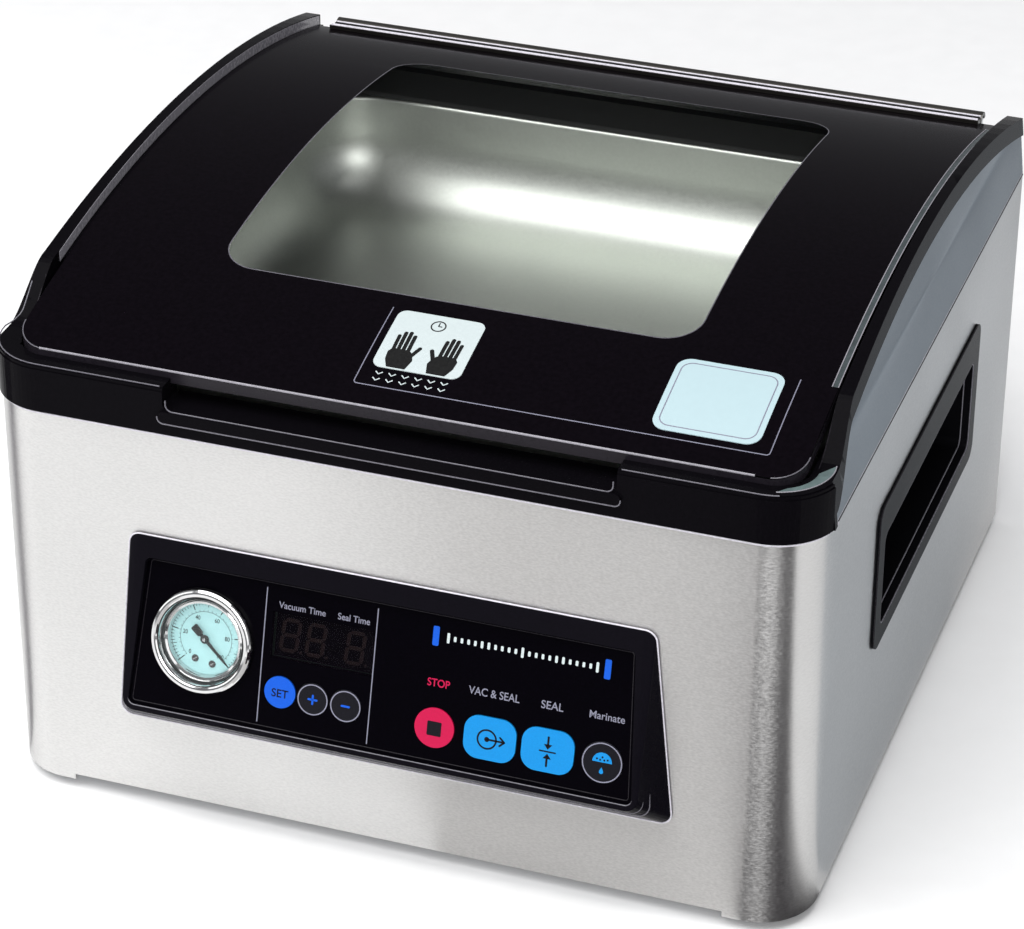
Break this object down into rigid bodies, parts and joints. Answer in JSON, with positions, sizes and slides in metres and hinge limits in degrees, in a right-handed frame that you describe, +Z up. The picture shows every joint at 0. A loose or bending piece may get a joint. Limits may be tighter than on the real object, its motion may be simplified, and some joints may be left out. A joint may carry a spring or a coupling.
{
  "type": "vacuum chamber sealer",
  "caption": "Tabletop chamber vacuum sealer: steel case, arched windowed lid hinged at the rear, lifting seal bar, tilted console with keys and a vacuum gauge, recessed side handles.",
  "frame": {"origin": "centre of the footprint, on the surface that the rubber feet stand on", "axes": "+X to the user's right, +Y to the back, +Z up"},
  "size_m": [0.363, 0.3779, 0.243],
  "materials": {
    "wrap_steel": "brushed stainless sheet",
    "cheek_steel": "brushed steel, darker",
    "chassis_steel": "zinc plated sheet",
    "tub_steel": "satin deep-drawn stainless",
    "frame_plastic": "gloss black moulding",
    "handle_plastic": "black moulding",
    "pane": "clear acrylic",
    "pane_print": "black printed border",
    "lid_plastic": "black moulding",
    "gasket_rubber": "silicone",
    "pad_rubber": "red silicone",
    "foot_rubber": "rubber",
    "aluminium": "extruded aluminium",
    "cast_alu": "cast aluminium",
    "chrome": "polished",
    "screw_metal": "zinc plated",
    "console_plastic": "black moulding",
    "panel_film": "black film",
    "smoked": "smoked acrylic",
    "segment": "unlit segments",
    "white_plastic": "white moulding",
    "board": "circuit board",
    "gauge_body": "black painted",
    "dial_face": "pale cyan print",
    "gauge_glass": "clear lens",
    "needle_black": "black",
    "key_blue": "blue key",
    "key_black": "black key with a ring",
    "key_red": "red key",
    "label_white": "white label",
    "badge_blue": "pale blue label",
    "wire_metal": "nichrome",
    "tape": "coated glass cloth",
    "motor_paint": "dark painted",
    "valve_blue": "blue anodised",
    "hose_rubber": "silicone hose",
    "copper_core": "laminated core and windings",
    "rocker_red": "red rocker"
  },
  "bodies": {
    "case": {"base_pan": "chassis_steel", "steel_wrap": "wrap_steel", "rear_panel": "chassis_steel", "cheek_left": "cheek_steel", "cheek_right": "cheek_steel", "top_frame": "frame_plastic", "chamber_tub": "tub_steel", "chamber_rail_left": "chassis_steel", "chamber_rail_right": "chassis_steel", "handle_cup_left": "handle_plastic", "handle_cup_right": "handle_plastic", "feet": "foot_rubber", "foot_screws": "screw_metal", "rear_screws": "screw_metal", "hinge_rail": "aluminium", "console_bezel": "console_plastic", "console_panel": "panel_film", "display_lens": "smoked", "display_module": "white_plastic", "display_digits": "segment", "key_board": "board", "gauge_ring": "chrome", "gauge_case": "gauge_body", "gauge_dial": "dial_face", "gauge_lens": "gauge_glass", "lift_cylinders": "cast_alu", "lid_switch": "lid_plastic", "pump_motor": "motor_paint", "pump_heads": "cast_alu", "pump_mounts": "foot_rubber", "valve_block": "valve_blue", "hoses": "hose_rubber", "transformer": "copper_core", "power_board": "board", "rear_inlet": "lid_plastic", "rocker_housing": "lid_plastic"},
    "lid": {"lid_pane": "pane", "lid_mask": "pane_print", "lid_frame": "lid_plastic", "lid_gasket": "gasket_rubber", "lid_rear_profile": "aluminium", "counter_bar": "aluminium", "counter_pad": "pad_rubber", "press_label": "label_white", "badge": "badge_blue"},
    "sealing_bar": {"seal_bar": "aluminium", "seal_wire": "wire_metal", "seal_tape": "tape", "bar_posts": "chrome"},
    "needle": {"gauge_needle": "needle_black"},
    "set_key": {"key_set": "key_blue"},
    "plus_key": {"key_plus": "key_black"},
    "minus_key": {"key_minus": "key_black"},
    "stop_key": {"key_stop": "key_red"},
    "vac_seal_key": {"key_vac_seal": "key_blue"},
    "seal_key": {"key_seal": "key_blue"},
    "marinate_key": {"key_marinate": "key_black"},
    "plunger": {"lid_plunger": "white_plastic"},
    "rotor": {"pump_rotor": "screw_metal"},
    "rocker": {"power_rocker": "rocker_red"}
  },
  "joints": [
    {"name": "lid_hinge", "type": "hinge", "parent": "case", "child": "lid", "pos_m": [0, 0.1842, 0.2136], "axis": [-1, 0, 0], "range_deg": [0, 70]},
    {"name": "seal_bar_lift", "type": "slide", "parent": "case", "child": "sealing_bar", "axis": [0, 0, 1], "range_m": [0, 0.008]},
    {"name": "gauge_needle_turn", "type": "hinge", "parent": "case", "child": "needle", "pos_m": [-0.08, -0.1798, 0.09803], "axis": [0, -0.9613, 0.2756], "range_deg": [0, 264], "stiffness_Nm_per_rad": 0.0001},
    {"name": "set_key_press", "type": "slide", "parent": "case", "child": "set_key", "axis": [0, 0.9613, -0.2756], "range_m": [0, 0.0008], "stiffness_N_per_m": 1500, "springref_m": -0.0005},
    {"name": "plus_key_press", "type": "slide", "parent": "case", "child": "plus_key", "axis": [0, 0.9613, -0.2756], "range_m": [0, 0.0008], "stiffness_N_per_m": 1500, "springref_m": -0.0005},
    {"name": "minus_key_press", "type": "slide", "parent": "case", "child": "minus_key", "axis": [0, 0.9613, -0.2756], "range_m": [0, 0.0008], "stiffness_N_per_m": 1500, "springref_m": -0.0005},
    {"name": "stop_key_press", "type": "slide", "parent": "case", "child": "stop_key", "axis": [0, 0.9613, -0.2756], "range_m": [0, 0.0008], "stiffness_N_per_m": 1500, "springref_m": -0.0005},
    {"name": "vac_seal_key_press", "type": "slide", "parent": "case", "child": "vac_seal_key", "axis": [0, 0.9613, -0.2756], "range_m": [0, 0.0008], "stiffness_N_per_m": 1500, "springref_m": -0.0005},
    {"name": "seal_key_press", "type": "slide", "parent": "case", "child": "seal_key", "axis": [0, 0.9613, -0.2756], "range_m": [0, 0.0008], "stiffness_N_per_m": 1500, "springref_m": -0.0005},
    {"name": "marinate_key_press", "type": "slide", "parent": "case", "child": "marinate_key", "axis": [0, 0.9613, -0.2756], "range_m": [0, 0.0008], "stiffness_N_per_m": 1500, "springref_m": -0.0005},
    {"name": "lid_switch_press", "type": "slide", "parent": "case", "child": "plunger", "axis": [0, 0, -1], "range_m": [0, 0.002], "stiffness_N_per_m": 400, "springref_m": -0.001},
    {"name": "pump_spin", "type": "hinge", "parent": "case", "child": "rotor", "pos_m": [0, 0.06, 0.07], "axis": [1, 0, 0], "continuous": true},
    {"name": "power_rocker_tilt", "type": "hinge", "parent": "case", "child": "rocker", "pos_m": [0.066, 0.184, 0.038], "axis": [1, 0, 0], "range_deg": [0, 20]}
  ]
}
